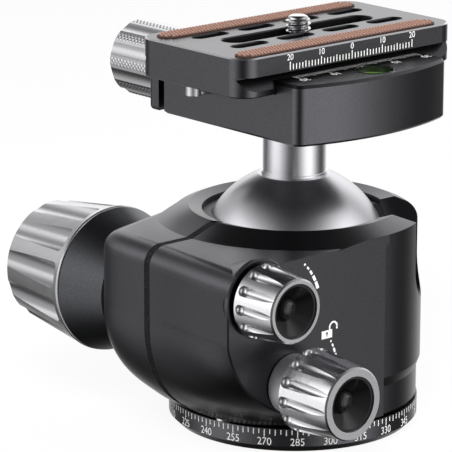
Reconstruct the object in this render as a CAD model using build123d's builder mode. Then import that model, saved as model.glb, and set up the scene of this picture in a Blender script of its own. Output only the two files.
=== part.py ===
from build123d import *
from math import *
import os

# Tripod ball head, mm. Z up, origin in the middle of the base's underside.
# +X along the quick-release plate, -Y the side with the two small knobs.
os.makedirs("parts", exist_ok=True)

# --- driving dimensions -------------------------------------------------
ring_r = 31.0            # base dial ring, 62 mm across
ring_h = 6.1
ring_chamfer = 1.7
hub_r = 16.0             # journal the housing turns on
hub_top = 13.0
run_gap = 0.05           # running clearance, radial
floor_z0 = 7.0           # housing underside
floor_z1 = 12.4
thread_38_r = 4.0        # 3/8"-16 hole, drawn as a plain bore at its minor diameter
bush_r = 8.0
ball_z = 40.6            # height of the ball's centre
ball_r = 23.4
ball_gap = 0.06          # ball to liner
liner_t = 2.09
liner_fit = 0.05         # liner to housing
seat_in_r = ball_r + ball_gap
seat_out_r = seat_in_r + liner_t
socket_r = seat_out_r + liner_fit
wall_r = 31.6            # round wall of the housing
skirt_r = 30.7
face_y = -31.6           # flat front face
lug_top_z = 51.6
crest_r, crest_z = 26.1, 54.3
mouth_r, mouth_z = 22.8, 53.4
liner_z0, liner_z1 = 37.6, 52.2
seat_polar = 50.0        # the lower cup reaches this far up from the bottom, degrees
notch_az = -46.0         # the 90 degree drop notch
notch_w = 18.0
slit_w = 2.2
main_x, main_z = -30.0, 33.5      # main clamp screw axis, along Y
collar_y0 = 21.4         # main knob's collar, sunk in the housing's rear
knob_y0, knob_y1 = 33.4, 58.6     # its fluted grip
fric_x, fric_z = -40.0, 44.3      # friction screw axis, along Y
lip_r0 = 9.8             # raised lip round the friction knob
pan_x, pan_z = -30.0, 22.0        # pan lock screw axis, along Y
stem_r = 7.8
stem_z0 = 62.2
clamp_z0, clamp_z1 = 77.2, 91.8
clamp_hx = 24.5
bed_z = 88.6             # floor of the dovetail
plate_l, plate_w = 70.0, 38.0
plate_y = -1.0           # middle of the plate across the clamp
plate_z0, plate_z1 = 88.7, 98.2
plate_corner = 4.7
plate_front = plate_y - plate_w / 2
plate_rear = plate_y + plate_w / 2
lip_gap = 0.12           # plate to the dovetail's undercuts
lip_depth = 1.65
lip_z = 90.15
clamp_side_y = plate_front - 7.4   # ends of the bowed front
clamp_bow_y = plate_front - 12.0   # its middle
clamp_back_y = plate_rear + 2.4
jaw_gap = 2.1            # jaw to clamp, open by one notch
jaw_t = 4.1
jaw_y0 = clamp_back_y + jaw_gap
jaw_y1 = jaw_y0 + jaw_t
pin_x = 16.0             # the jaw's two guide pins
knob_x = 0.0
knob_z = clamp_z0 + 4.6  # clamp knob axis, along Y
level_r = 5.2
level_x = 2.0
level_y = plate_front - 5.6
level_h = 4.6
stop_x = 29.0            # stop screws under the plate
stop_y = plate_y + 5.2
stop_pin_r, stop_pin_z = 0.7, 85.4
cam_x, cam_y = 0.0, plate_y
cam_r = 3.17             # 1/4"-20 camera screw, drawn plain
cam_top = 101.7
cam_wall_z = plate_z1 + 0.1        # its full thickness starts just over the plate

ax_u = cos(radians(105.0)) * wall_r
ay_u = sin(radians(105.0)) * wall_r

# plan of the side lug at several heights, front to rear
lug_plan = [
    (7.0, [(-4.0, -36.0), (-9.0, -31.6), (-27.4, -16.0), (-31.6, 0.0),
           (-30.2, 8.0), (-27.3, 14.8), (-23.4, 20.6), (-18.0, 25.6)]),
    (11.5, [(-16.0, -36.0), (-22.0, -31.6), (-34.8, -16.0), (-38.4, 0.0),
            (-37.2, 9.4), (-34.6, 16.2), (-30.0, 20.7), (-20.8, 25.7)]),
    (15.0, [(-27.6, -36.0), (-32.6, -31.6), (-40.6, -16.0), (-41.9, 0.0),
            (-41.0, 10.0), (-38.3, 17.4), (-32.8, 21.3), (-21.8, 25.9)]),
    (18.5, [(-35.0, -36.0), (-38.8, -31.6), (-44.2, -16.0), (-44.2, 0.0),
            (-43.5, 10.6), (-41.0, 18.2), (-35.0, 21.7), (-22.8, 26.1)]),
    (22.5, [(-40.6, -36.0), (-43.5, -31.6), (-46.4, -16.0), (-45.9, 0.0),
            (-45.4, 11.0), (-43.0, 18.9), (-37.0, 22.0), (-23.6, 26.2)]),
    (27.0, [(-45.0, -36.0), (-46.8, -31.6), (-47.9, -16.0), (-47.0, 0.0),
            (-46.6, 11.4), (-44.3, 19.4), (-38.2, 22.3), (-24.0, 26.3)]),
    (32.0, [(-48.8, -36.0), (-49.0, -31.6), (-48.5, -16.0), (-47.4, 0.0),
            (-46.9, 11.5), (-44.6, 19.6), (-38.5, 22.4), (-24.0, 26.3)]),
    (35.0, [(-50.0, -36.0), (-49.6, -31.6), (-48.6, -16.0), (-47.4, 0.0),
            (-46.9, 11.5), (-44.6, 19.6), (-38.5, 22.4), (-24.0, 26.3)]),
]


def lug_outline(pts):
    start = (pts[1][0] - pts[0][0], pts[1][1] - pts[0][1])
    Spline(*(pts + [(ax_u, ay_u)]), tangents=[start, (0.9659, 0.2588)])
    Polyline((ax_u, ay_u), (0.8, 20.0), (0.8, -36.0), pts[0])


def y_axis(x, z):
    return Axis((x, 0, z), (0, 1, 0))


def turned(x, z, pts, mode=Mode.ADD):
    # half profile of a piece turned about an axis along Y: points are (radius, y)
    with BuildSketch(Plane(origin=(x, 0, z), x_dir=(1, 0, 0), z_dir=(0, 0, 1))) as half:
        Polygon(*pts, align=None)
    revolve(half.sketch, axis=y_axis(x, z), mode=mode)


def turned_z(x, y, pts):
    # half profile of a piece turned about an upright axis: points are (radius, z)
    with BuildSketch(Plane(origin=(x, y, 0), x_dir=(1, 0, 0), z_dir=(0, -1, 0))) as half:
        Polygon(*pts, align=None)
    revolve(half.sketch, axis=Axis((x, y, 0), (0, 0, 1)))


def rod_y(x, z, r, y0, y1, mode=Mode.ADD):
    with BuildSketch(Plane(origin=(x, y0, z), x_dir=(1, 0, 0), z_dir=(0, 1, 0))) as disc:
        Circle(r)
    extrude(disc.sketch, amount=y1 - y0, mode=mode)


def cutter(r, length, nose):
    # round bar along +Z from 0, its lower end rounded
    with BuildPart() as bar:
        Cylinder(r, length, align=(Align.CENTER, Align.CENTER, Align.MIN))
        fillet(bar.edges().filter_by(GeomType.CIRCLE).group_by(Axis.Z)[0], nose)
    return bar.part


def flutes(x, z, n, phase, ya, ra, yb, rb, tool):
    # n cuts round an axis along Y, each running from (radius ra, ya) to (rb, yb)
    for k in range(n):
        a = radians(phase + 360.0 * k / n)
        d = Vector((rb - ra) * cos(a), yb - ya, (rb - ra) * sin(a))
        o = Vector(x + ra * cos(a), ya, z + ra * sin(a))
        add(Plane(origin=o, z_dir=d).location * tool, mode=Mode.SUBTRACT)


def ring_z(r0, r1, z0, z1):
    with BuildSketch(Plane.XY.offset(z0)) as annulus:
        Circle(r1)
        Circle(r0, mode=Mode.SUBTRACT)
    extrude(annulus.sketch, amount=z1 - z0)


def disc_z(x, y, r, z0, z1, mode=Mode.ADD):
    with BuildSketch(Plane.XY.offset(z0)) as disc:
        with Locations((x, y)):
            Circle(r)
    extrude(disc.sketch, amount=z1 - z0, mode=mode)


def block(x0, x1, y0, y1, z0, z1, mode=Mode.ADD):
    with Locations(((x0 + x1) / 2, (y0 + y1) / 2, (z0 + z1) / 2)):
        Box(x1 - x0, y1 - y0, z1 - z0, mode=mode)


nodes = {}

# --- base -----------------------------------------------------------------
screw_pos = [(12.0 * cos(radians(a)), 12.0 * sin(radians(a))) for a in (30, 150, 270)]

with BuildPart() as pan_base:
    with BuildSketch(Plane.XZ):
        with BuildLine():
            Polyline((0, 0), (ring_r - ring_chamfer, 0), (ring_r, ring_chamfer),
                     (ring_r, ring_h), (hub_r, ring_h), (hub_r, hub_top),
                     (0, hub_top), (0, 0))
        make_face()
    revolve(axis=Axis.Z)
    disc_z(0, 0, bush_r, -1.0, hub_top + 1.0, Mode.SUBTRACT)
    for sx, sy in screw_pos:
        disc_z(sx, sy, 1.25, 6.5, hub_top + 1.0, Mode.SUBTRACT)
nodes["pan_base"] = pan_base

with BuildPart() as base_thread_bushing:
    ring_z(thread_38_r, bush_r, 0.0, 12.6)
nodes["base_thread_bushing"] = base_thread_bushing

with BuildPart() as pan_washer:
    ring_z(hub_r + 1.0, 25.0, ring_h, floor_z0)
nodes["pan_washer"] = pan_washer

with BuildPart() as retainer_washer:
    ring_z(hub_r + 0.4, 19.0, floor_z1, hub_top)
nodes["retainer_washer"] = retainer_washer

with BuildPart() as pan_retainer:
    ring_z(5.6, 19.2, hub_top, hub_top + 1.5)
    for sx, sy in screw_pos:
        disc_z(sx, sy, 1.4, hub_top - 1.0, hub_top + 2.0, Mode.SUBTRACT)
        with Locations((sx, sy, hub_top + 0.75)):
            Cone(1.4, 2.5, 1.5, mode=Mode.SUBTRACT)
nodes["pan_retainer"] = pan_retainer

for i, (sx, sy) in enumerate(screw_pos):
    with BuildPart() as retainer_screw:
        disc_z(sx, sy, 1.2, 7.0, hub_top + 0.3)
        with Locations((sx, sy, hub_top + 0.75)):
            Cone(1.25, 2.35, 1.4)
        disc_z(sx, sy, 0.8, hub_top + 0.7, hub_top + 2.0, Mode.SUBTRACT)
    nodes["retainer_screw_%d" % (i + 1)] = retainer_screw

# --- housing ----------------------------------------------------------------
with BuildPart() as lug_low:
    for z, pts in lug_plan:
        with BuildSketch(Plane.XY.offset(z)):
            with BuildLine():
                lug_outline(pts)
            make_face()
    loft()

top_z, top_pts = lug_plan[-1]
with BuildPart() as lug_high:
    with BuildSketch(Plane.XY.offset(top_z)):
        with BuildLine():
            lug_outline(top_pts)
        make_face()
    extrude(amount=lug_top_z - top_z)
    rim = [e for e in lug_high.edges() if e.bounding_box().min.Z > lug_top_z - 0.1]
    fillet([e for e in rim if e.geom_type != GeomType.LINE], 4.8)

with BuildPart() as lug_cone:
    with BuildSketch(Plane.XY.offset(50.0)):
        Polygon((-36, -36), (2, -36), (2, 25.2), (-9, 25.2), (-24, 21.4), (-36, 17.2), align=None)
    extrude(amount=6.0)
    with BuildSketch(Plane.XZ):
        Polygon((24, 50), (35.5, 50), (35.5, 51.2), (34, lug_top_z),
                (crest_r, crest_z), (24, crest_z - 0.57), align=None)
    revolve(axis=Axis.Z, mode=Mode.INTERSECT)

with BuildPart() as shell:
    with BuildSketch(Plane.XZ):
        with BuildLine():
            Polyline((28.2, 53.45), (crest_r, crest_z), (mouth_r, mouth_z), (0, mouth_z),
                     (0, floor_z0), (skirt_r, floor_z0), (skirt_r, 14.0),
                     (wall_r, 16.5), (wall_r, 48.6))
            ThreePointArc((wall_r, 48.6), (30.7, 51.6), (28.2, 53.45))
        make_face()
    revolve(axis=Axis.Z)
    with BuildSketch(Plane(origin=(0, 0, 0), x_dir=(0, -1, 0), z_dir=(-1, 0, 0))):
        Polygon((24, 40), (wall_r, 40), (wall_r, 52.42), (crest_r, crest_z),
                (24, crest_z - 0.57), align=None)
    revolve(axis=Axis.Z, revolution_arc=44)
    add(lug_low.part)
    add(lug_high.part)
    add(lug_cone.part)
    # raised lip over the friction knob
    turned(fric_x, fric_z, [(0, -34.0), (lip_r0, -34.0), (lip_r0, -30.6), (6.4, -21.0), (0, -21.0)])
    block(-62, 0.0, face_y - 20, face_y, 0, 60, Mode.SUBTRACT)
    block(0.0, 31.0, face_y - 20, face_y, 0, 60, Mode.SUBTRACT)
    # break the flat face's longer edges
    flat = [f for f in shell.faces() if abs(f.center().Y - face_y) < 0.01 and f.area > 1000]
    chamfer([e for e in flat[0].edges() if e.length > 6.5 and e.center().Z > 10 and e.center().X < -10], 0.35)

with BuildPart() as housing:
    add(shell.part)
    # bores up the middle
    disc_z(0, 0, hub_r + run_gap, 6.0, floor_z1 + 0.1, Mode.SUBTRACT)
    disc_z(0, 0, 19.8, floor_z1, 15.0, Mode.SUBTRACT)
    disc_z(0, 0, 11.5, 14.8, 22.0, Mode.SUBTRACT)
    with Locations((0, 0, ball_z)):
        Sphere(socket_r, mode=Mode.SUBTRACT)
    disc_z(0, 0, mouth_r, 48.0, 60.0, Mode.SUBTRACT)
    # drop notch
    with BuildSketch(Plane(origin=(0, 0, ball_z), x_dir=(-sin(radians(notch_az)), cos(radians(notch_az)), 0),
                           z_dir=(cos(radians(notch_az)), sin(radians(notch_az)), 0))):
        Circle(notch_w / 2)
        with Locations((0, 10)):
            Rectangle(notch_w, 20)
    extrude(amount=45, mode=Mode.SUBTRACT)
    # slit through the lug
    block(-60, -19.0, -slit_w / 2, slit_w / 2, 0, 60, Mode.SUBTRACT)
    # main clamp screw
    rod_y(main_x, main_z, 4.3, 0.0, 22.0, Mode.SUBTRACT)
    rod_y(main_x, main_z, 4.0, -24.0, 0.0, Mode.SUBTRACT)
    rod_y(main_x, main_z, 11.0, 18.0, 40.0, Mode.SUBTRACT)
    turned(main_x, main_z, [(0, collar_y0 - 0.4), (14.2, collar_y0 - 0.4), (19.6, 33.6), (19.6, 45.0),
                            (0, 45.0)], Mode.SUBTRACT)
    # friction screw
    rod_y(fric_x, fric_z, 9.3, -40.0, face_y + 0.5, Mode.SUBTRACT)
    rod_y(fric_x, fric_z, 2.9, -40.0, 0.0, Mode.SUBTRACT)
    rod_y(fric_x, fric_z, 2.5, 0.0, 14.0, Mode.SUBTRACT)
    # pan lock screw and its shoe
    rod_y(pan_x, pan_z, 3.05, -40.0, -2.6, Mode.SUBTRACT)
    disc_z(-28.0, -6.0, 2.4, 6.0, pan_z, Mode.SUBTRACT)
nodes["housing"] = housing

with BuildPart() as slit_gasket:
    add(shell.part)
    block(-60, -26.6, -slit_w / 2, slit_w / 2, 7.2, 60, Mode.INTERSECT)
    with Locations((0, 0, ball_z)):
        Sphere(socket_r + 0.5, mode=Mode.SUBTRACT)
    rod_y(main_x, main_z, 4.6, -5.0, 5.0, Mode.SUBTRACT)
    rod_y(fric_x, fric_z, 3.2, -5.0, 5.0, Mode.SUBTRACT)
nodes["slit_gasket"] = slit_gasket

with BuildPart() as ball_liner:
    with Locations((0, 0, ball_z)):
        Sphere(seat_out_r)
        Sphere(seat_in_r, mode=Mode.SUBTRACT)
    disc_z(0, 0, 40.0, 0.0, liner_z0, Mode.SUBTRACT)
    disc_z(0, 0, 40.0, liner_z1, 80.0, Mode.SUBTRACT)
    with BuildSketch(Plane(origin=(0, 0, ball_z), x_dir=(-sin(radians(notch_az)), cos(radians(notch_az)), 0),
                           z_dir=(cos(radians(notch_az)), sin(radians(notch_az)), 0))):
        Circle(notch_w / 2)
        with Locations((0, 10)):
            Rectangle(notch_w, 20)
    extrude(amount=45, mode=Mode.SUBTRACT)
    block(-40, 0, -slit_w / 2, slit_w / 2, 0, 60, Mode.SUBTRACT)
halves = ball_liner.part.solids().sort_by(Axis.Y)
with BuildPart() as liner_front:
    add(halves[0])
with BuildPart() as liner_rear:
    add(halves[-1])
nodes["ball_liner_front"] = liner_front
nodes["ball_liner_rear"] = liner_rear

with BuildPart() as ball_seat:
    with Locations((0, 0, ball_z)):
        Sphere(seat_out_r - 0.03)
        Sphere(seat_in_r, mode=Mode.SUBTRACT)
    disc_z(0, 0, 40.0, ball_z - seat_out_r * cos(radians(seat_polar)), 90.0, Mode.SUBTRACT)
    disc_z(0, 0, 12.0, 0.0, 40.0, Mode.SUBTRACT)
nodes["ball_seat"] = ball_seat

with BuildPart() as pan_brake_shoe:
    disc_z(-28.0, -6.0, 2.35, ring_h + 0.05, 18.6)
    chamfer(pan_brake_shoe.edges().filter_by(GeomType.CIRCLE).group_by(Axis.Z)[-1], 0.9)
nodes["pan_brake_shoe"] = pan_brake_shoe

# --- main knob ----------------------------------------------------------------
scoop = cutter(3.7, 30.0, 1.5)
with BuildPart() as main_knob_grip:
    turned(main_x, main_z, [(5.0, knob_y0), (17.9, knob_y0), (18.25, knob_y0 + 0.15), (18.4, knob_y0 + 0.5),
                            (15.3, knob_y1 - 1.2), (14.3, knob_y1), (5.0, knob_y1)])
    flutes(main_x, main_z, 12, 18.7, knob_y0 + 1.8, 19.5, knob_y1, 18.2, scoop)
nodes["main_knob_grip"] = main_knob_grip

with BuildPart() as main_knob_collar:
    turned(main_x, main_z, [(5.0, 18.7), (10.4, 18.7), (10.4, collar_y0), (13.0, collar_y0),
                            (13.7, collar_y0 + 0.5), (18.2, 32.9), (17.9, knob_y0), (5.0, knob_y0)])
nodes["main_knob_collar"] = main_knob_collar

with BuildPart() as main_spindle:
    turned(main_x, main_z, [(0, -22.0), (3.0, -22.0), (3.95, -21.0), (3.95, 18.7),
                            (5.0, 18.7), (5.0, knob_y1 - 0.4), (0, knob_y1 - 0.4)])
nodes["main_spindle"] = main_spindle

with BuildPart() as main_knob_cap:
    turned(main_x, main_z, [(0, knob_y1 - 0.4), (5.0, knob_y1 - 0.4), (5.0, knob_y1),
                            (9.0, knob_y1), (8.0, knob_y1 + 0.6), (0, knob_y1 + 0.6)])
nodes["main_knob_cap"] = main_knob_cap

with BuildPart() as main_thrust_washer:
    turned(main_x, main_z, [(4.4, 18.0), (9.6, 18.0), (9.6, 18.7), (4.4, 18.7)])
nodes["main_thrust_washer"] = main_thrust_washer


# --- the two small knobs --------------------------------------------------------
cup_deep = 3.4           # from the grip's front end
button_r, button_h = 2.5, 1.7


def small_knob(x, z, yb, rb, yf, rf, cup_r, spin_r, spin_pts, n, phase, y_nose, r_cut):
    # the flutes are deepest at a round nose near the back and run out towards the front
    r_nose = rb + (rf - rb) * (y_nose - yb) / (yf - yb)
    tool = cutter(r_cut, yb - yf + 4.0, r_cut * 0.9)
    with BuildPart() as grip:
        turned(x, z, [(spin_r, yb), (rb - 0.6, yb), (rb, yb - 0.6), (rf, yf + 0.4),
                      (rf - 0.35, yf), (cup_r, yf), (cup_r, yf + 4.2), (spin_r, yf + 4.2)])
        flutes(x, z, n, phase, y_nose + r_cut, r_nose + 0.1, yf, rf + r_cut - 0.05, tool)
    # the cup is a cone with a round button at its bottom
    button = [(button_r * sin(radians(a)), yf + cup_deep - button_h * cos(radians(a))) for a in range(90, 0, -15)]
    with BuildPart() as cup:
        turned(x, z, [(0, yf + 4.2), (cup_r, yf + 4.2), (cup_r, yf + 0.35), (cup_r - 0.7, yf + 0.35),
                      *button, (0, yf + cup_deep - button_h)])
    with BuildPart() as spindle:
        turned(x, z, spin_pts)
    return grip, cup, spindle


fric_pts = [(0, -40.1), (2.9, -40.1), (2.9, -32.2), (2.75, -31.75), (2.45, -31.75), (2.45, 11.5),
            (1.6, 12.4), (0, 12.4)]
g, c, s = small_knob(fric_x, fric_z, -32.2, 8.9, -44.3, 7.7, 6.55, 2.9, fric_pts, 12, 0.9, -34.6, 1.3)
nodes["friction_knob_grip"] = g
nodes["friction_knob_cup"] = c
nodes["friction_spindle"] = s

pan_pts = [(0, -48.9), (3.4, -48.9), (3.4, -38.0), (7.2, -38.0), (7.2, -31.9), (3.0, -31.9),
           (3.0, -8.6), (0.6, -4.0), (0, -4.0)]
g, c, s = small_knob(pan_x, pan_z, -38.0, 10.1, -53.1, 8.75, 6.7, 3.4, pan_pts, 13, 17.2, -39.9, 1.4)
nodes["pan_lock_grip"] = g
nodes["pan_lock_cup"] = c
nodes["pan_lock_spindle"] = s

# --- ball and stem ----------------------------------------------------------------
with BuildPart() as ball:
    with Locations((0, 0, ball_z)):
        Sphere(ball_r)
    disc_z(0, 0, 20.0, stem_z0, 80.0, Mode.SUBTRACT)
    disc_z(0, 0, 5.0, 50.0, 80.0, Mode.SUBTRACT)
nodes["ball"] = ball

with BuildPart() as stem:
    disc_z(0, 0, 5.0, 50.4, stem_z0)
    disc_z(0, 0, 8.1, stem_z0, stem_z0 + 0.7)
    disc_z(0, 0, stem_r, stem_z0 + 0.7, clamp_z0)
    disc_z(0, 0, 3.0, 58.0, 80.0, Mode.SUBTRACT)
nodes["stem"] = stem

# --- clamp ---------------------------------------------------------------------------
with BuildPart() as clamp_body:
    with BuildSketch(Plane.XY.offset(clamp_z0)):
        with BuildLine():
            ThreePointArc((-clamp_hx, clamp_side_y), (0.0, clamp_bow_y), (clamp_hx, clamp_side_y))
            Polyline((clamp_hx, clamp_side_y), (clamp_hx, clamp_back_y), (-clamp_hx, clamp_back_y),
                     (-clamp_hx, clamp_side_y))
        make_face()
    extrude(amount=clamp_z1 - clamp_z0)
    fillet(clamp_body.edges().filter_by(Axis.Z).sort_by(Axis.Y)[:2], 2.6)
    # break the edges of the bowed front and of the underside
    upper = clamp_body.edges().group_by(Axis.Z)[-1]
    chamfer([e for e in upper if e.center().Y < clamp_side_y + 3.0], 0.7)
    chamfer(clamp_body.edges().group_by(Axis.Z)[0], 0.6)
    undercut = plate_front - lip_gap
    with BuildSketch(Plane.YZ):
        Polygon((undercut, bed_z), (undercut, lip_z), (undercut + lip_depth, clamp_z1),
                (undercut + lip_depth, 95), (30, 95), (30, bed_z - 1.2),
                (clamp_back_y - 4.2, bed_z - 1.2), (clamp_back_y - 4.2, bed_z), align=None)
    extrude(amount=40, both=True, mode=Mode.SUBTRACT)
    # stem screw, clamp screw, pin bores and level pocket
    disc_z(0, 0, 3.3, 70.0, 95.0, Mode.SUBTRACT)
    disc_z(0, 0, 6.2, 84.0, 95.0, Mode.SUBTRACT)
    rod_y(knob_x, knob_z, 2.5, 7.6, 40.0, Mode.SUBTRACT)
    for px in (-pin_x, pin_x):
        rod_y(px, knob_z, 1.5, 8.0, 40.0, Mode.SUBTRACT)
    disc_z(level_x, level_y, level_r, clamp_z1 - level_h, 95.0, Mode.SUBTRACT)
    with BuildSketch(Plane.YZ.offset(-clamp_hx - 1.0)):
        with Locations((stop_y, stop_pin_z)):
            Circle(stop_pin_r)
    extrude(amount=6.0, mode=Mode.SUBTRACT)
nodes["clamp_body"] = clamp_body

with BuildPart() as stop_pin:
    with BuildSketch(Plane.YZ.offset(-clamp_hx - 1.9)):
        with Locations((stop_y, stop_pin_z)):
            Circle(stop_pin_r)
    extrude(amount=6.9)
    chamfer(stop_pin.edges().group_by(Axis.X)[0], 0.3)
nodes["stop_pin"] = stop_pin

with BuildPart() as clamp_bolt:
    disc_z(0, 0, 2.95, 60.0, 84.0)
    disc_z(0, 0, 5.6, 84.0, 87.6)
    with BuildSketch(Plane.XY.offset(85.6)):
        RegularPolygon(2.3, 6)
    extrude(amount=5, mode=Mode.SUBTRACT)
nodes["clamp_bolt"] = clamp_bolt

level_z0 = clamp_z1 - level_h
with BuildPart() as level_ring:
    turned_z(level_x, level_y, [(level_r - 0.75, level_z0), (level_r, level_z0), (level_r, clamp_z1),
                                (level_r - 0.25, clamp_z1 + 0.15), (level_r - 0.55, clamp_z1 + 0.15),
                                (level_r - 0.75, clamp_z1 - 0.1)])
nodes["level_ring"] = level_ring

with BuildPart() as level_vial:
    disc_z(level_x, level_y, level_r - 0.75, level_z0, clamp_z1 - 0.45)
nodes["level_vial"] = level_vial

for i, px in enumerate((-pin_x, pin_x)):
    with BuildPart() as jaw_pin:
        rod_y(px, knob_z, 1.5, 8.0, clamp_back_y)
        rod_y(px, knob_z, 1.4, clamp_back_y, jaw_y1 - 1.0)
    nodes["jaw_pin_%d" % (i + 1)] = jaw_pin

jaw_lip = plate_rear + lip_gap
with BuildPart() as clamp_jaw:
    with BuildSketch(Plane.YZ):
        Polygon((jaw_y0, clamp_z0), (jaw_y1, clamp_z0), (jaw_y1, clamp_z1), (jaw_lip - lip_depth, clamp_z1),
                (jaw_lip, lip_z), (jaw_lip, bed_z), (jaw_y0, bed_z), align=None)
    extrude(amount=clamp_hx, both=True)
    fillet(clamp_jaw.edges().filter_by(Axis.Z).group_by(Axis.Y)[-1], 1.6)
    fillet([e for e in clamp_jaw.edges().filter_by(Axis.X) if e.center().Z < clamp_z0 + 0.1], 1.2)
    rod_y(knob_x, knob_z, 3.2, jaw_y0 - 5.0, jaw_y1 + 5.0, Mode.SUBTRACT)
    for px in (-pin_x, pin_x):
        rod_y(px, knob_z, 1.45, jaw_y0 - 5.0, jaw_y1 + 5.0, Mode.SUBTRACT)
nodes["clamp_jaw"] = clamp_jaw

screw_y0 = jaw_y1 + 0.7  # the clamp screw's shoulder
with BuildPart() as clamp_screw:
    turned(knob_x, knob_z, [(0, 8.2), (1.9, 8.2), (2.45, 8.8), (2.45, screw_y0), (4.0, screw_y0),
                            (4.0, screw_y0 + 28.7), (0, screw_y0 + 28.7)])
nodes["clamp_screw"] = clamp_screw

groove = cutter(4.16, 30.0, 0.3)
grip_y0 = screw_y0 + 8.3
grip_y1 = screw_y0 + 32.7
with BuildPart() as clamp_knob:
    turned(knob_x, knob_z, [(4.0, screw_y0 + 1.7), (6.6, screw_y0 + 1.7), (6.6, grip_y0), (9.2, grip_y0 + 0.4),
                            (9.7, grip_y0 + 1.0), (9.7, grip_y1 - 0.8), (8.9, grip_y1), (4.0, grip_y1)])
    flutes(knob_x, knob_z, 9, -1.1, grip_y0 - 1.0, 13.36, grip_y1 + 1.0, 13.36, groove)
nodes["clamp_knob"] = clamp_knob

with BuildPart() as clamp_washer:
    turned(knob_x, knob_z, [(4.1, screw_y0), (6.2, screw_y0), (6.2, screw_y0 + 1.3), (4.1, screw_y0 + 1.3)])
nodes["clamp_washer"] = clamp_washer

# --- quick-release plate ------------------------------------------------------------------
foot_z, neck_z, wing_z = 90.2, 93.0, 93.6     # heights of the dovetail's flank and groove
neck = 2.8
short_slots = (-21.3, -6.5, 8.3, 23.1)
with BuildPart() as qr_plate:
    with BuildSketch(Plane.YZ):
        Polygon((plate_front, plate_z0), (plate_front, foot_z), (plate_front + neck, neck_z),
                (plate_front + neck, wing_z), (plate_front, wing_z), (plate_front, plate_z1),
                (plate_rear, plate_z1), (plate_rear, wing_z), (plate_rear - neck, wing_z),
                (plate_rear - neck, neck_z), (plate_rear, foot_z), (plate_rear, plate_z0), align=None)
    extrude(amount=plate_l / 2, both=True)
    with BuildSketch(Plane.XY.offset(plate_z0 - 1)):
        with Locations((0, plate_y)):
            RectangleRounded(plate_l, plate_w, plate_corner)
    extrude(amount=12, mode=Mode.INTERSECT)
    chamfer(qr_plate.edges().group_by(Axis.Z)[-1], 0.35)
    chamfer(qr_plate.edges().group_by(Axis.Z)[0], 0.3)
    # long slot, eight short slots, their edges broken
    with BuildSketch(Plane.XY.offset(plate_z0 - 1)):
        with Locations((0, plate_y)):
            SlotOverall(47.4, 6.6)
        for sx in short_slots:
            with Locations((sx, plate_y + 8.1), (sx, plate_y - 6.1)):
                SlotOverall(10.6, 3.5)
    extrude(amount=12, mode=Mode.SUBTRACT)
    rims = [e for e in qr_plate.edges().group_by(Axis.Z)[-1]
            if abs(e.center().X) < plate_l / 2 - 3 and abs(e.center().Y - plate_y) < plate_w / 2 - 3]
    chamfer(rims, 0.3)
    # counterbore for the camera screw's head
    with BuildSketch(Plane.XY.offset(plate_z0 - 1)):
        with Locations((0, plate_y)):
            SlotOverall(56.0, 16.4)
    extrude(amount=5.6, mode=Mode.SUBTRACT)
    for px in (-stop_x, stop_x):
        disc_z(px, stop_y, 1.25, plate_z0 - 1, 94.0, Mode.SUBTRACT)
nodes["qr_plate"] = qr_plate

for name, cx, cy in (("grip_strip_front", -1.6, plate_front + 3.6), ("grip_strip_rear", -0.8, plate_rear - 5.4)):
    with BuildPart() as strip:
        with BuildSketch(Plane.XY.offset(plate_z1)):
            with Locations((cx, cy)):
                SlotOverall(63.4, 5.4)
        extrude(amount=0.9)
    nodes[name] = strip

for name, px in (("stop_screw_left", -stop_x), ("stop_screw_right", stop_x)):
    with BuildPart() as stop_screw:
        disc_z(px, stop_y, 1.2, 85.0, 93.6)
        disc_z(px, stop_y, 1.9, 85.0, 87.9)
        chamfer(stop_screw.edges().group_by(Axis.Z)[0], 0.25)
    nodes[name] = stop_screw

with BuildPart() as camera_screw:
    disc_z(cam_x, cam_y, 7.6, plate_z0, 91.6)
    disc_z(cam_x, cam_y, 2.3, 91.6, cam_wall_z)
    disc_z(cam_x, cam_y, cam_r, cam_wall_z, cam_top)
    chamfer(camera_screw.edges().filter_by(GeomType.CIRCLE).group_by(Axis.Z)[-1], 0.7)
    with BuildSketch(Plane.XY.offset(plate_z0 - 1)):
        with Locations((cam_x, cam_y)):
            Rectangle(16, 1.6)
    extrude(amount=2.2, mode=Mode.SUBTRACT)
nodes["camera_screw"] = camera_screw

for name, built in nodes.items():
    solid = built.part
    solid.label = name
    bad = "" if solid.is_valid and len(solid.solids()) == 1 else "  <-- check"
    print("%-22s %d solid%s" % (name, len(solid.solids()), bad))
    export_step(solid, "parts/%s.step" % name)
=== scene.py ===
"""Tripod ball head: finishes, marks, rubber, threads and studio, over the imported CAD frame."""
import math

import bpy
from mathutils import Matrix, Vector


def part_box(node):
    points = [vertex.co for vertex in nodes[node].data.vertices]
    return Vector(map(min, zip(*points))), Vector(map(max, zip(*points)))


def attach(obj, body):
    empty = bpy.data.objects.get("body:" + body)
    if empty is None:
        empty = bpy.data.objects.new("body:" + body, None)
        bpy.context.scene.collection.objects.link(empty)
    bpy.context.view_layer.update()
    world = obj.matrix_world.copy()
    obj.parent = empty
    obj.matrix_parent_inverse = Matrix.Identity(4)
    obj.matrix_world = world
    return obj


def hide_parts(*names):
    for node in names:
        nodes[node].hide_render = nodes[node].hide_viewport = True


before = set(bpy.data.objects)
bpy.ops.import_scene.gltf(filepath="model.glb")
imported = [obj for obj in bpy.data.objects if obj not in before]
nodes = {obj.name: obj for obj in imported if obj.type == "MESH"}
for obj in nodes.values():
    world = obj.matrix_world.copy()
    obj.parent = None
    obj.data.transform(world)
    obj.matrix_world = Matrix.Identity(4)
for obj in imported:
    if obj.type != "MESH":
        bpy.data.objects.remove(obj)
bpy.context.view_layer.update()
MM = 0.001

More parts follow.
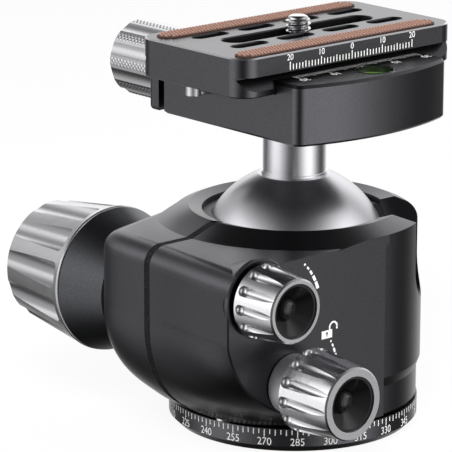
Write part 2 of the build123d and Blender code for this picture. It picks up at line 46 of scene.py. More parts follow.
# ---------------------------------------------------------------- sizes, mm
RING_R = 31.0                         # dial ring
RING_TOP = 6.1
FACE_Y = -31.6                        # the body's flat front face
PAN_LOCK_AXIS = (-30.0, 22.0)         # x, z of an axis that runs along Y
CLAMP_KNOB_AXIS = (0.0, 81.8)
CLAMP_KNOB_R = 9.7
CLAMP_TOP = 91.8
PLATE_L, PLATE_W = 70.0, 38.0
PLATE_Y = -1.0                        # the plate's middle across the clamp
PLATE_CORNER = 4.7
PLATE_EDGE = 0.5                      # chamfer round the plate's top
PLATE_TOP = 98.2
LEVEL_X = 2.0
STRIP_L, STRIP_W = 63.4, 5.4
STRIP_TOP = 99.1
PROUD = 0.02                          # a mark stands this far off its surface


# ---------------------------------------------------------------- colour and node helpers
def srgb(text, alpha=1.0):
    """sRGB hex to the linear colour that Blender's sockets take."""
    parts = [int(text[i:i + 2], 16) / 255 for i in (1, 3, 5)]
    linear = [c / 12.92 if c <= 0.04045 else ((c + 0.055) / 1.055) ** 2.4 for c in parts]
    return (*linear, alpha)


def add(tree, kind, feeds=None, **settings):
    """Adds a node. settings are its properties or its sockets' values, and feeds gives
    sockets, by name or number, a link or a value."""
    made = tree.nodes.new(kind)
    for key, value in settings.items():
        if hasattr(made, key):
            setattr(made, key, value)
        else:
            made.inputs[key.replace("_", " ")].default_value = value
    for socket, source in (feeds or {}).items():
        if isinstance(source, bpy.types.NodeSocket):
            tree.links.new(source, made.inputs[socket])
        else:
            made.inputs[socket].default_value = source
    return made


def finish(name, metallic, roughness, **sockets):
    """A material with a Principled shader; returns the material, its tree and its shader."""
    made = bpy.data.materials.new(name)
    made.use_nodes = True
    shader = made.node_tree.nodes["Principled BSDF"]
    for key, value in dict(Metallic=metallic, Roughness=roughness, **sockets).items():
        shader.inputs[key.replace("_", " ")].default_value = value
    return made, made.node_tree, shader


def grain(tree, shader, size_mm, height_mm, detail=2.0):
    """Fine noise in the surface, size_mm across; returns the noise."""
    place = add(tree, "ShaderNodeTexCoord")
    noise = add(tree, "ShaderNodeTexNoise", {"Vector": place.outputs["Object"]},
                Scale=1.0 / (size_mm * MM), Detail=detail, Roughness=0.6)
    bump = add(tree, "ShaderNodeBump", {"Height": noise.outputs["Fac"]},
               Strength=1.0, Distance=height_mm * MM)
    tree.links.new(bump.outputs[0], shader.inputs["Normal"])
    return noise


def tint(tree, shader, share, low, high):
    """Colour of the shader that goes from low to high with share, a socket; returns the colour."""
    mixed = add(tree, "ShaderNodeMix", {"Factor": share}, data_type="RGBA",
                A=srgb(low), B=srgb(high))
    tree.links.new(mixed.outputs["Result"], shader.inputs["Base Color"])
    return mixed.outputs["Result"]


def grained(name, roughness, size_mm, height_mm, low, high):
    """A metal with a grain; returns the material, its tree, its shader and its colour."""
    made, tree, shader = finish(name, 1.0, roughness)
    noise = grain(tree, shader, size_mm, height_mm)
    return made, tree, shader, tint(tree, shader, noise.outputs["Fac"], low, high)


# ---------------------------------------------------------------- finishes
def blasted_black_anodised(name="bead_blasted_black_anodised"):
    # aluminium, bead blasted then dyed black: a soft wide sheen that breaks up into a fine sparkle
    return grained(name, 0.31, 0.32, 0.011, "#4b4b4e", "#66666a")


def bright_cut_edge():
    # the same black, with a painted highlight: the plate's outer top chamfer is coloured
    # near-white
    made, tree, shader, black = blasted_black_anodised("black_anodised_painted_highlight")
    place = add(tree, "ShaderNodeTexCoord")
    beside = add(tree, "ShaderNodeVectorMath",
                 {0: place.outputs["Object"], 1: (0, PLATE_Y * MM, 0)}, operation="SUBTRACT")
    mirrored = add(tree, "ShaderNodeVectorMath", {0: beside.outputs[0]}, operation="ABSOLUTE")
    # how far a point lies past the middle of the plate's nearest rounded corner
    middle = ((PLATE_L / 2 - PLATE_CORNER) * MM, (PLATE_W / 2 - PLATE_CORNER) * MM, 1.0)
    past = add(tree, "ShaderNodeVectorMath", {0: mirrored.outputs[0], 1: middle},
               operation="SUBTRACT")
    corner = add(tree, "ShaderNodeVectorMath", {0: past.outputs[0]}, operation="MAXIMUM")
    reach = add(tree, "ShaderNodeVectorMath", {0: corner.outputs[0]}, operation="LENGTH")
    # painted highlight mask: only the chamfer round the plate's top
    edge = add(tree, "ShaderNodeMath",
               {0: reach.outputs["Value"], 1: (PLATE_CORNER - PLATE_EDGE) * MM},
               operation="GREATER_THAN")
    spot = add(tree, "ShaderNodeSeparateXYZ", {"Vector": place.outputs["Object"]})
    upper = add(tree, "ShaderNodeMath",
                {0: spot.outputs["Z"], 1: (PLATE_TOP - PLATE_EDGE) * MM}, operation="GREATER_THAN")
    facing = add(tree, "ShaderNodeNewGeometry")
    tilt = add(tree, "ShaderNodeSeparateXYZ", {"Vector": facing.outputs["True Normal"]})
    # neither flat nor upright: the height of the face's normal is within 0.3 of 0.66
    sloping = add(tree, "ShaderNodeMath", {0: tilt.outputs["Z"], 1: 0.66, 2: 0.3},
                  operation="COMPARE")
    for other in (upper, sloping):
        edge = add(tree, "ShaderNodeMath", {0: edge.outputs[0], 1: other.outputs[0]},
                   operation="MULTIPLY")
    # the painted highlight: near-white mixed over the black where the mask holds
    colour = add(tree, "ShaderNodeMix", {"Factor": edge.outputs[0], "A": black},
                 data_type="RGBA", B=srgb("#e8e8ec"))
    tree.links.new(colour.outputs["Result"], shader.inputs["Base Color"])
    return made


def gloss_black_cup():
    # moulded black plastic, polished
    made, tree, shader = finish("gloss_black_abs", 0.0, 0.2, Base_Color=srgb("#0c0c0d"), IOR=1.53)
    grain(tree, shader, 1.5, 0.002)
    return made


def turned_steel():
    # nickel-plated steel: bright and fairly sharp
    made, tree, shader = finish("nickel_plated_steel", 1.0, 0.18, Base_Color=srgb("#d0d0d2"))
    grain(tree, shader, 0.25, 0.002)
    return made


def zinc_plated():
    # small fasteners, zinc plated: bright but dull
    made, tree, shader = finish("zinc_plated_steel", 1.0, 0.42, Base_Color=srgb("#e6e6e8"))
    grain(tree, shader, 0.25, 0.004)
    return made


def black_acetal():
    # moulded black acetal: a dull slippery plastic
    made, tree, shader = finish("black_acetal", 0.0, 0.45, Base_Color=srgb("#161617"), IOR=1.48)
    grain(tree, shader, 0.6, 0.003)
    return made


def pebbled_gasket():
    # soft black rubber with a coarse pebbled face
    made, tree, shader = finish("pebbled_black_rubber", 0.0, 0.75, IOR=1.52,
                                Specular_IOR_Level=0.12)
    noise = grain(tree, shader, 0.7, 0.3, detail=1.0)
    tint(tree, shader, noise.outputs["Fac"], "#000000", "#2a2a2c")
    return made


def brown_rubber():
    # brown rubber, moulded into small peaks, with painted shade: darker towards the valleys
    # between the peaks
    made, tree, shader = finish("brown_rubber", 0.0, 0.6, IOR=1.52)
    place = add(tree, "ShaderNodeTexCoord")
    spot = add(tree, "ShaderNodeSeparateXYZ", {"Vector": place.outputs["Object"]})
    # painted shade: the colour darkens from the peaks' tips down to their feet
    height = add(tree, "ShaderNodeMapRange", {"Value": spot.outputs["Z"]},
                 From_Min=(PLATE_TOP + 0.3) * MM, From_Max=STRIP_TOP * MM)
    tint(tree, shader, height.outputs[0], "#38241d", "#b48c7c")
    return made


def green_fluid():
    # clear acrylic vial over bright green fluid
    made, tree, shader = finish("green_level_fluid", 0.0, 0.08, IOR=1.49, Coat_Weight=1.0)
    place = add(tree, "ShaderNodeTexCoord")
    cloud = add(tree, "ShaderNodeTexNoise", {"Vector": place.outputs["Object"]},
                Scale=220.0, Detail=1.0)
    tint(tree, shader, cloud.outputs["Fac"], "#6cb834", "#b0e878")
    return made


def air_bubble():
    # air under the vial's window: paler than the fluid, with a sharp highlight
    made, tree, shader = finish("level_bubble", 0.0, 0.06, Base_Color=srgb("#c4ec98"), IOR=1.49)
    grain(tree, shader, 2.0, 0.001)
    return made


def white_print():
    # laser-cut and filled marks: dull near-white
    made, tree, shader = finish("white_fill", 0.0, 0.6, Base_Color=srgb("#f0f0ee"))
    grain(tree, shader, 0.4, 0.002)
    return made


BLACK = blasted_black_anodised()[0]
BLACK_WITH_PAINTED_HIGHLIGHT = bright_cut_edge()
# turned aluminium, clear anodised: pale satin
SILVER = grained("clear_anodised_turned_aluminium", 0.26, 0.3, 0.004, "#d2d2d6", "#e2e2e5")[0]
# blasted and clear anodised knob: greyer than the stem, with a visible grain
GRIP = grained("satin_anodised_grip", 0.27, 0.34, 0.006, "#b2b2b6", "#cececf")[0]
# bright anodised knob: strong reflections, broken up by a fine blasted grain
POLISHED = grained("bright_anodised_aluminium", 0.24, 0.28, 0.007, "#cacace", "#eaeaec")[0]
# coarse blasted, clear anodised: so rough that it looks evenly light
BLASTED = grained("blasted_clear_anodised", 0.6, 0.35, 0.02, "#bcbcc0", "#f0f0f2")[0]
# dark grey dyed aluminium, faintly mottled
COLLAR = grained("dark_grey_anodised", 0.4, 0.5, 0.008, "#4c4d50", "#65666a")[0]
# hard anodised, fine turned ball: satin with a fine sparkle
BALL_GREY = grained("hard_anodised_ball", 0.32, 0.3, 0.006, "#c2c2c6", "#dcdce0")[0]
CUP = gloss_black_cup()
STEEL = turned_steel()
ZINC = zinc_plated()
ACETAL = black_acetal()
GASKET = pebbled_gasket()
RUBBER = brown_rubber()
GREEN = green_fluid()
BUBBLE = air_bubble()
WHITE = white_print()

# nodes that are named nowhere here are steel
FINISH_OF = {
    BLACK: ["housing", "clamp_body", "clamp_jaw", "pan_base", "main_knob_cap"],
    SILVER: ["stem"],
    BLASTED: ["pan_lock_spindle"],
    BLACK_WITH_PAINTED_HIGHLIGHT: ["qr_plate"],
    GRIP: ["main_knob_grip", "clamp_knob"],
    POLISHED: ["friction_knob_grip", "pan_lock_grip"],
    COLLAR: ["main_knob_collar"],
    ZINC: ["stop_screw_left", "stop_screw_right", "stop_pin"],
    BALL_GREY: ["ball"],
    CUP: ["friction_knob_cup", "pan_lock_cup", "level_ring"],
    ACETAL: ["ball_liner_front", "ball_liner_rear", "ball_seat", "pan_washer", "retainer_washer"],
    GASKET: ["slit_gasket"],
    RUBBER: ["grip_strip_front", "grip_strip_rear"],
    GREEN: ["level_vial"],
}
for name, obj in nodes.items():
    chosen = next((m for m, names in FINISH_OF.items() if name in names), STEEL)
    obj.data.materials.clear()
    obj.data.materials.append(chosen)


# ---------------------------------------------------------------- mesh helpers
def mesh_object(name, verts, faces, material, smooth=False):
    """An object from points in mm; a smooth one keeps its edges of over 40 degrees sharp."""
    data = bpy.data.meshes.new(name)
    data.from_pydata([Vector(v) * MM for v in verts], [], faces)
    data.update()
    for polygon in data.polygons:
        polygon.use_smooth = smooth
    if smooth:
        data.set_sharp_from_angle(angle=math.radians(40))
    data.materials.append(material)
    made = bpy.data.objects.new(name, data)
    bpy.context.scene.collection.objects.link(made)
    return made


def add_peak(verts, faces, foot, tip):
    """Adds a four-sided peak to a mesh's lists, from the four points of its foot and its tip."""
    start = len(verts)
    verts.extend([*foot, tip])
    faces.extend((start + i, start + (i + 1) % 4, start + 4) for i in range(4))


def wall_faces(rings, sides):
    """The faces between rings of points, one above the other."""
    return [(ring * sides + i, ring * sides + (i + 1) % sides,
             (ring + 1) * sides + (i + 1) % sides, (ring + 1) * sides + i)
            for ring in range(rings - 1) for i in range(sides)]


# ---------------------------------------------------------------- marks
def glyphs(text, height):
    """Flat outline mesh of a few characters, centred on 0, 0; height is of a digit."""
    curve = bpy.data.curves.new("glyphs", "FONT")
    curve.body = text
    curve.align_x = "CENTER"
    curve.align_y = "CENTER"
    curve.size = height / 0.69        # a digit's share of the font's size
    carrier = bpy.data.objects.new("glyphs", curve)
    bpy.context.scene.collection.objects.link(carrier)
    shown = carrier.evaluated_get(bpy.context.evaluated_depsgraph_get())
    flat = bpy.data.meshes.new_from_object(shown)
    verts = [v.co.copy() for v in flat.vertices]
    faces = [tuple(p.vertices) for p in flat.polygons]
    bpy.data.objects.remove(carrier)
    bpy.data.meshes.remove(flat)
    bpy.data.curves.remove(curve)
    return verts, faces


def bar(u0, u1, v0, v1):
    """A plain rectangle."""
    return [(u0, v0), (u1, v0), (u1, v1), (u0, v1)], [(0, 1, 2, 3)]


def bow(centre, radius, start, end, width, steps=14):
    """A bent stripe, from start up to end in degrees."""
    points = []
    for i in range(steps + 1):
        a = math.radians(start + (end - start) * i / steps)
        for r in (radius - width / 2, radius + width / 2):
            points.append((centre[0] + r * math.cos(a), centre[1] + r * math.sin(a)))
    return points, [(2 * i, 2 * i + 1, 2 * i + 3, 2 * i + 2) for i in range(steps)]


def facing_front(y):
    """A surface that faces -Y: u runs along +X and v up."""
    return lambda u, v: (u, y, v)


class Marks:
    """Gathers flat marks, each laid on a surface by a function from (u, v) to a point in mm."""

    def __init__(self):
        self.verts = []
        self.faces = []

    def lay(self, shape, surface):
        points, faces = shape
        start = len(self.verts)
        self.verts += [surface(p[0], p[1]) for p in points]
        self.faces += [tuple(start + i for i in face) for face in faces]

    def number(self, value, height, u, v, surface, squeeze=1.0):
        """Lays a number with its middle at (u, v)."""
        points, faces = glyphs(str(value), height)
        self.lay(([(p.x * squeeze + u, p.y + v) for p in points], faces), surface)

    def make(self, name, body, material=WHITE):
        made = mesh_object(name, self.verts, self.faces, material)
        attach(made, body)
        return made


# ---------------------------------------------------------------- base dial
DIAL_R = RING_R + 0.03
DIAL_STEPS = 144                      # marks all round, 2.5 degrees apart
DIAL_MARK_TOP = RING_TOP - 0.2
DIAL_MARK_HALF = 0.13
NUMBERED, SECOND, PLAIN = 1.9, 1.47, 1.18      # lengths of the three kinds of mark
NUMBER_EVERY = 6                      # steps
NUMBER_Z, NUMBER_H, NUMBER_SQUEEZE = 2.75, 1.85, 0.9
# where the number 285 stands, in degrees from +X
KNOWN_NUMBER, KNOWN_AT = 285.0, -130.39


def dial_surface(degrees):
    """The ring's wall, with u = 0 at a reading of the dial."""
    middle = math.radians(KNOWN_AT + degrees - KNOWN_NUMBER)

    def place(u, v):
        a = middle + u / DIAL_R
        return (DIAL_R * math.cos(a), DIAL_R * math.sin(a), v)
    return place


dial = Marks()
for step in range(DIAL_STEPS):
    reading = step * 360 / DIAL_STEPS
    numbered = step % NUMBER_EVERY == 0
    length = NUMBERED if numbered else (SECOND if step % 2 == 0 else PLAIN)
    wall = dial_surface(reading)
    dial.lay(bar(-DIAL_MARK_HALF, DIAL_MARK_HALF, DIAL_MARK_TOP - length, DIAL_MARK_TOP), wall)
    if numbered:
        dial.number(int(reading), NUMBER_H, 0.0, NUMBER_Z, wall, squeeze=NUMBER_SQUEEZE)
dial.make("dial_marks", "base")


# ---------------------------------------------------------------- plate and clamp scales
def millimetre_scale(name, body, surface, middle, foot, lengths, width, number_at, number_height,
                     zero=True):
    """A scale of 20 marks each side of its middle, numbered at the tens; lengths are of the
    tens, the fives and the ones."""
    marks = Marks()
    half = width / 2
    for mm in range(-20, 21):
        length = lengths[0 if mm % 10 == 0 else (1 if mm % 5 == 0 else 2)]
        u = middle + mm
        marks.lay(bar(u - half, u + half, foot, foot + length), surface)
        if mm % 10 == 0 and (mm or zero):
            marks.number(abs(mm), number_height, u, number_at, surface)
    return marks.make(name, body)


def clamp_shoulder(u, v):
    """The clamp's top, read from the far side, so both axes are turned."""
    return (-u, -v, CLAMP_TOP + PROUD)


plate_front = facing_front(PLATE_Y - PLATE_W / 2 - PROUD)
millimetre_scale("plate_scale", "plate", plate_front, middle=0.0, foot=93.95,
                 lengths=(1.95, 1.65, 1.35), width=0.26, number_at=96.95, number_height=1.45)
# the level stands where the clamp's scale has its zero
millimetre_scale("clamp_scale", "clamp", clamp_shoulder, middle=-LEVEL_X, foot=18.4,
                 lengths=(3.3, 2.7, 2.1), width=0.14, number_at=22.9, number_height=1.9,
                 zero=False)

# ---------------------------------------------------------------- lock sign and dotted leaders
# each leader's dashes grow along an arc: length and width of each, then their bearings
DASHES = [(0.5, 0.5), (0.85, 0.5), (1.15, 0.6), (1.5, 0.75), (1.9, 0.85)]
LEADERS = [((-37.1, 38.0), 16.7, (46.4, 41.4, 36.0, 29.6, 22.6)),
           (PAN_LOCK_AXIS, 15.1, (30.2, 25.6, 20.2, 13.6, 5.8))]
LOCK_X, LOCK_Z = -18.3, 31.6
# a padlock's body and the two legs of its open shackle, from the sign's middle
LOCK_BARS = [(-1.7, 1.7, -1.05, 0.95), (0.65, 1.1, 0.9, 1.5), (3.0, 3.45, 0.75, 1.45)]

body_front = facing_front(FACE_Y - PROUD)
signs = Marks()
for centre, radius, bearings in LEADERS:
    for (length, width), bearing in zip(DASHES, bearings):
        half = math.degrees(length / radius / 2)
        signs.lay(bow(centre, radius, bearing - half, bearing + half, width, steps=1), body_front)
for u0, u1, v0, v1 in LOCK_BARS:
    signs.lay(bar(LOCK_X + u0, LOCK_X + u1, LOCK_Z + v0, LOCK_Z + v1), body_front)
signs.lay(bow((LOCK_X + 2.05, LOCK_Z + 1.5), 1.18, -5, 180, 0.45), body_front)
signs.make("lock_sign", "body")

lock_front = facing_front(FACE_Y - 2 * PROUD)
keyhole = Marks()
keyhole.lay(bow((LOCK_X, LOCK_Z + 0.2), 0.16, 0, 360, 0.32), lock_front)
keyhole.lay(bar(LOCK_X - 0.13, LOCK_X + 0.13, LOCK_Z - 0.6, LOCK_Z + 0.2), lock_front)
keyhole.make("lock_keyhole", "body", BLACK)

# ---------------------------------------------------------------- rubber strips
STRIP_PITCH = 1.0
STRIP_ROWS = 5
STRIP_FOOT = PLATE_TOP + 0.25         # the peaks stand on a thin backing
PEAK_SUNK = 0.02                      # and reach this far into it
PEAK_INSET = 0.35                     # they keep this far inside the round ends
ROUND_STEP = 15                       # degrees between points of the strip's round ends


def rubber_strip(end, centre_x, centre_y):
    """A strip with round ends, covered in rows of small peaks, each second row half a step on."""
    straight = (STRIP_L - STRIP_W) / 2
    rim = []
    for way, start in ((1, -90), (-1, 90)):
        for degrees in range(start, start + 181, ROUND_STEP):
            a = math.radians(degrees)
            rim.append((way * straight + STRIP_W / 2 * math.cos(a), STRIP_W / 2 * math.sin(a)))
    count = len(rim)
    verts = [(centre_x + u, centre_y + v, z) for z in (PLATE_TOP, STRIP_FOOT) for u, v in rim]
    faces = wall_faces(2, count)
    faces += [tuple(range(count - 1, -1, -1)), tuple(range(count, 2 * count))]
    row_pitch = STRIP_W / STRIP_ROWS
    for row in range(STRIP_ROWS):
        v = (row - (STRIP_ROWS - 1) / 2) * row_pitch
        reach = straight + math.sqrt((STRIP_W / 2) ** 2 - (abs(v) + PEAK_INSET) ** 2)
        number = int(2 * reach / STRIP_PITCH)
        for i in range(number):
            u = (i - (number - 1) / 2) * STRIP_PITCH
            foot = [(centre_x + u + du * STRIP_PITCH / 2, centre_y + v + dv * row_pitch / 2,
                     STRIP_FOOT - PEAK_SUNK) for du, dv in ((-1, -1), (1, -1), (1, 1), (-1, 1))]
            add_peak(verts, faces, foot, (centre_x + u, centre_y + v, STRIP_TOP))
    strip = mesh_object("rubber_strip_" + end, verts, faces, RUBBER)
    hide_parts("grip_strip_" + end)
    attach(strip, "plate")


rubber_strip("front", -1.6, -16.4)
rubber_strip("rear", -0.8, 12.6)

# ---------------------------------------------------------------- clamp knob's knurl
KNURL_PITCH = 1.3
KNURL_HEIGHT = 0.14
KNURL_Y0, KNURL_Y1 = 36.6, 59.2
BANDS = 9
BAND_AT = 18.9                        # the first band, in degrees round the knob's axis


def knob_wall(u, v, h):
    """A point h off the clamp knob's wall: u round it from +X, and v along +Y."""
    a = u / CLAMP_KNOB_R
    r = CLAMP_KNOB_R - PROUD + h
    return (CLAMP_KNOB_AXIS[0] + r * math.cos(a), v, CLAMP_KNOB_AXIS[1] + r * math.sin(a))


verts, faces = [], []
half = KNURL_PITCH / 2
for band in range(BANDS):
    middle = math.radians(BAND_AT + 360.0 / BANDS * band) * CLAMP_KNOB_R
    for step in range(2 * int((KNURL_Y1 - KNURL_Y0) / KNURL_PITCH)):
        v = KNURL_Y0 + half * (step + 1)
        # rows of one diamond and of two by turns
        for u in (middle - half, middle + half) if step % 2 else (middle,):
            foot = [(u - half, v), (u, v + half), (u + half, v), (u, v - half)]
            add_peak(verts, faces, [knob_wall(a, b, 0.0) for a, b in foot],
                     knob_wall(u, v, KNURL_HEIGHT))
knurl = mesh_object("clamp_knob_knurl", verts, faces, GRIP)
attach(knurl, "clamp_knob")

# ---------------------------------------------------------------- level's window and bubble
LEVEL_SIDES = 48
vial_low, vial_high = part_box("level_vial")
VIAL_X, VIAL_Y = ((vial_low[i] + vial_high[i]) / 2 / MM for i in (0, 1))
VIAL_R = (vial_high[0] - vial_low[0]) / 2 / MM
VIAL_FOOT = vial_low[2] / MM
WINDOW_Z = vial_high[2] / MM - 0.95   # the window lies under its ring
BUBBLE_R, BUBBLE_H = 1.5, 0.22


def lathe(name, profile, material):
    """A piece turned about the level's axis; profile is (radius, z) from bottom to top."""
    turns = [2 * math.pi * i / LEVEL_SIDES for i in range(LEVEL_SIDES)]
    verts = [(VIAL_X + r * math.cos(a), VIAL_Y + r * math.sin(a), z)
             for r, z in profile for a in turns]
    faces = wall_faces(len(profile), LEVEL_SIDES)
    faces += [tuple(range(LEVEL_SIDES - 1, -1, -1)),
              tuple(range(len(verts) - LEVEL_SIDES, len(verts)))]
    made = mesh_object(name, verts, faces, material, smooth=True)
    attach(made, "clamp")
    return made


# the window is slightly domed
fluid = lathe("level_fluid", [(VIAL_R, VIAL_FOOT), (VIAL_R, WINDOW_Z - 0.1),
                              (VIAL_R * 0.8, WINDOW_Z), (VIAL_R * 0.4, WINDOW_Z + 0.06),
                              (0.3, WINDOW_Z + 0.08)], GREEN)
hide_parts("level_vial")
dome = [math.radians(degrees) for degrees in range(0, 90, 12)]
lathe("level_bubble", [(BUBBLE_R * math.cos(a), WINDOW_Z + 0.05 + BUBBLE_H * math.sin(a))
                       for a in dome], BUBBLE)

# ---------------------------------------------------------------- camera screw
THREAD_PITCH = 1.27                   # 20 threads to the inch
THREAD_R, CORE_R = 3.12, 2.45
NECK_R = 2.3
HEAD_R, HEAD_Z0, HEAD_Z1 = 7.6, 88.7, 91.6
THREAD_Z0, TIP_Z = 97.6, 101.7
THREAD_Z1 = TIP_Z - 0.7
THREAD_STEPS = 36
SCREW_SIDES = 48


def camera_thread():
    """The camera screw: a helical thread over its core, a domed tip, and the head below."""
    # profile of (radius, height, thread share) from the head to the tip
    profile = [(0.0, HEAD_Z0, 0), (HEAD_R, HEAD_Z0, 0), (HEAD_R, HEAD_Z1, 0), (NECK_R, HEAD_Z1, 0),
               (NECK_R, THREAD_Z0 - 0.1, 0)]
    for i in range(THREAD_STEPS + 1):
        z = THREAD_Z0 + (THREAD_Z1 - THREAD_Z0) * i / THREAD_STEPS
        # the thread runs in over its first 0.3 mm and out over its last 0.5 mm
        share = min(1.0, (THREAD_Z1 - z) / 0.5, (z - THREAD_Z0) / 0.3 + 0.1)
        profile.append((CORE_R, z, share))
    profile += [(NECK_R, TIP_Z - 0.4, 0), (1.9, TIP_Z - 0.12, 0), (1.3, TIP_Z, 0), (0.0, TIP_Z, 0)]
    verts = []
    for r, z, share in profile:
        for side in range(SCREW_SIDES):
            a = 2 * math.pi * side / SCREW_SIDES
            turn = (z / THREAD_PITCH - side / SCREW_SIDES) % 1.0
            crest = min(1.0, max(0.0, 1.6 * (1.0 - abs(2 * turn - 1.0)) - 0.25))
            reach = r + share * (THREAD_R - CORE_R) * crest
            verts.append((reach * math.cos(a), PLATE_Y + reach * math.sin(a), z))
    made = mesh_object("camera_thread", verts, wall_faces(len(profile), SCREW_SIDES), STEEL,
                       smooth=True)
    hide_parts("camera_screw")
    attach(made, "camera_screw")


camera_thread()

# ---------------------------------------------------------------- studio
# Softboxes stand to the left and right, with dark gaps between them, and a white backdrop behind.
# Each pair is a bearing in degrees, anticlockwise from the side the lens is on, and a level.
LIGHT_LEVEL = 2.0
LENS_BEARING = 131.4
LOW = [(-180, 0.5), (-164, 0.48), (-148, 0.16), (-132, 0.05), (-116, 0.1), (-98, 0.34),
       (-84, 0.64), (-62, 0.64), (-44, 0.36), (-24, 0.1), (-8, 0.03), (8, 0.08), (24, 0.36),
       (40, 0.72), (62, 0.84), (76, 0.42), (87, 0.2), (100, 0.05), (116, 0.02), (132, 0.14),
       (148, 0.42), (162, 0.5), (180, 0.5)]
MIDDLE = [(-180, 0.84), (-164, 0.76), (-146, 0.3), (-124, 0.3), (-100, 0.8), (-75, 0.95),
          (-50, 0.7), (-25, 0.14), (0, 0.03), (25, 0.2), (50, 0.6), (75, 1.0), (100, 0.7),
          (125, 0.25), (150, 0.7), (180, 0.84)]
HIGH = [(-180, 0.84), (-164, 0.76), (-146, 0.22), (-124, 0.2), (-100, 0.38), (-75, 0.46),
        (-50, 0.4), (-25, 0.12), (0, 0.05), (30, 0.2), (52, 0.5), (75, 1.0), (100, 0.8),
        (125, 0.2), (150, 0.7), (180, 0.84)]
# each pair is the sine of a height above the horizon and a share
BAND = [(-1.0, 0.04), (-0.8, 0.05), (-0.6, 0.5), (-0.35, 1.0), (0.55, 1.0), (0.75, 0.35),
        (0.9, 0.04), (1.0, 0.03)]
# the sines between which LOW gives way to MIDDLE, and MIDDLE to HIGH
TO_MIDDLE, TO_HIGH = (0.05, 0.2), (0.5, 0.7)

world = bpy.data.worlds.new("studio")
bpy.context.scene.world = world
world.use_nodes = True
tree = world.node_tree
tree.nodes.clear()
rays = add(tree, "ShaderNodeLightPath")
direction = add(tree, "ShaderNodeTexCoord")
turned = add(tree, "ShaderNodeMapping", {"Vector": direction.outputs["Generated"]},
             Rotation=(0, 0, math.radians(LENS_BEARING)))
split = add(tree, "ShaderNodeSeparateXYZ", {"Vector": turned.outputs[0]})
bearing = add(tree, "ShaderNodeMath", {0: split.outputs["Y"], 1: split.outputs["X"]},
              operation="ARCTAN2")
round_share = add(tree, "ShaderNodeMapRange", {"Value": bearing.outputs[0]},
                  From_Min=-math.pi, From_Max=math.pi)
height = add(tree, "ShaderNodeMapRange", {"Value": split.outputs["Z"]}, From_Min=-1.0)
ramps = []
for share, stops in ((round_share, LOW), (round_share, MIDDLE), (round_share, HIGH),
                     (height, BAND)):
    ramp = add(tree, "ShaderNodeValToRGB", {0: share.outputs[0]})
    line = ramp.color_ramp
    first, last = stops[0][0], stops[-1][0]
    line.elements[0].position, line.elements[1].position = 0.0, 1.0
    for at, _ in stops[1:-1]:
        line.elements.new((at - first) / (last - first))
    for element, (_, level) in zip(line.elements, stops):
        element.color = (level, level, level, 1)
    ramps.append(ramp.outputs[0])
around, middle_ramp, high_ramp, band_ramp = ramps
for upper, (start, end) in ((middle_ramp, TO_MIDDLE), (high_ramp, TO_HIGH)):
    rise = add(tree, "ShaderNodeMapRange", {"Value": split.outputs["Z"]},
               From_Min=start, From_Max=end)
    mixed = add(tree, "ShaderNodeMix", {"Factor": rise.outputs[0], "A": around, "B": upper})
    around = mixed.outputs[0]
shaped = add(tree, "ShaderNodeMath", {0: around, 1: band_ramp}, operation="MULTIPLY")
level = add(tree, "ShaderNodeMath", {0: shaped.outputs[0], 1: LIGHT_LEVEL}, operation="MULTIPLY")
softboxes = add(tree, "ShaderNodeBackground", {"Strength": level.outputs[0]},
                Color=srgb("#ffffff"))
plain = add(tree, "ShaderNodeBackground", Color=srgb("#ffffff"), Strength=1.0)
seen = add(tree, "ShaderNodeMath",
           {0: rays.outputs["Is Camera Ray"], 1: rays.outputs["Is Transmission Ray"]},
           operation="MAXIMUM")
backdrop = add(tree, "ShaderNodeMixShader",
               {0: seen.outputs[0], 1: softboxes.outputs[0], 2: plain.outputs[0]})
add(tree, "ShaderNodeOutputWorld", {"Surface": backdrop.outputs[0]})

FLOOR_HALF = 900
GLOW = 0.9                            # share of the floor's white that needs no light


def pale_floor():
    # matt white paper that glows a little, so that only the soft shadow darkens it
    made, tree, shader = finish("white_floor", 0.0, 0.9, Base_Color=srgb("#ffffff"))
    white = add(tree, "ShaderNodeEmission", Color=srgb("#ffffff"), Strength=1.0)
    mixed = add(tree, "ShaderNodeMixShader", {0: GLOW, 1: shader.outputs[0], 2: white.outputs[0]})
    tree.links.new(mixed.outputs[0], tree.nodes["Material Output"].inputs["Surface"])
    return made


corners, square = bar(-FLOOR_HALF, FLOOR_HALF, -FLOOR_HALF, FLOOR_HALF)
floor = mesh_object("floor", [(x, y, 0) for x, y in corners], square, pale_floor())
floor.location.z = -0.0002
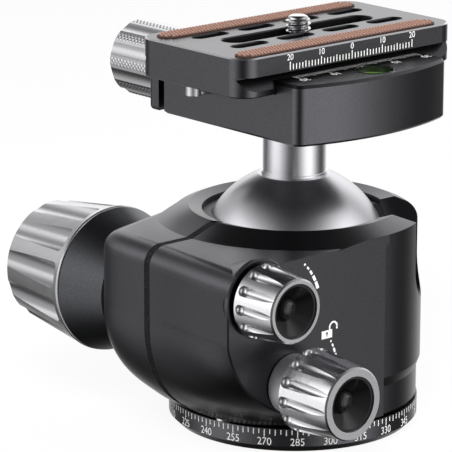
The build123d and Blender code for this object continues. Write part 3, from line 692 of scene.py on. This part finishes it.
# the metal reflects the studio's lower half instead, so the floor only catches the shadow
floor.visible_glossy = False
floor.visible_diffuse = False
floor.visible_shadow = False


def softbox(name, place, watts):
    """A square lamp with 350 mm sides, aimed at the middle of the head and unseen in the metal."""
    lamp = bpy.data.lights.new(name, "AREA")
    lamp.shape = "RECTANGLE"
    lamp.size = lamp.size_y = 350 * MM
    lamp.energy = watts
    made = bpy.data.objects.new(name, lamp)
    made.location = Vector(place) * MM
    aim = (Vector((0, 0, 45)) - Vector(place)).to_track_quat("-Z", "Y")
    made.rotation_euler = aim.to_euler()
    made.visible_glossy = False
    bpy.context.scene.collection.objects.link(made)


softbox("key", (-450, -300, 500), 5.0)
softbox("right", (350, -500, 350), 3.0)

# ---------------------------------------------------------------- camera
PICTURE = 452.0                       # pixels, across and down
FOCAL = 3072.0                        # pixels
AXIS_AT = (224.94, 225.22)            # the pixel that the lens looks straight at
EYE = (-496.66, -537.86, 246.77)
YAW, PITCH, ROLL = (math.radians(a) for a in (41.387, 15.148, 0.059))

camera = bpy.data.cameras.new("camera")
camera.sensor_width = 36.0
camera.lens = camera.sensor_width * FOCAL / PICTURE
camera.shift_x = (PICTURE / 2 - AXIS_AT[0]) / PICTURE
camera.shift_y = (AXIS_AT[1] - PICTURE / 2) / PICTURE
camera.clip_start = 0.01
camera.clip_end = 10.0
eye = bpy.data.objects.new("camera", camera)
forward = Vector((math.sin(YAW) * math.cos(PITCH), math.cos(YAW) * math.cos(PITCH),
                  -math.sin(PITCH)))
across = Vector((math.cos(YAW), -math.sin(YAW), 0.0))
above = across.cross(forward)
right = across * math.cos(ROLL) + above * math.sin(ROLL)
up = above * math.cos(ROLL) - across * math.sin(ROLL)
eye.matrix_world = Matrix((
    (right.x, up.x, -forward.x, EYE[0] * MM),
    (right.y, up.y, -forward.y, EYE[1] * MM),
    (right.z, up.z, -forward.z, EYE[2] * MM),
    (0, 0, 0, 1)))
bpy.context.scene.collection.objects.link(eye)
bpy.context.scene.camera = eye
bpy.context.scene.view_settings.view_transform = "Standard"
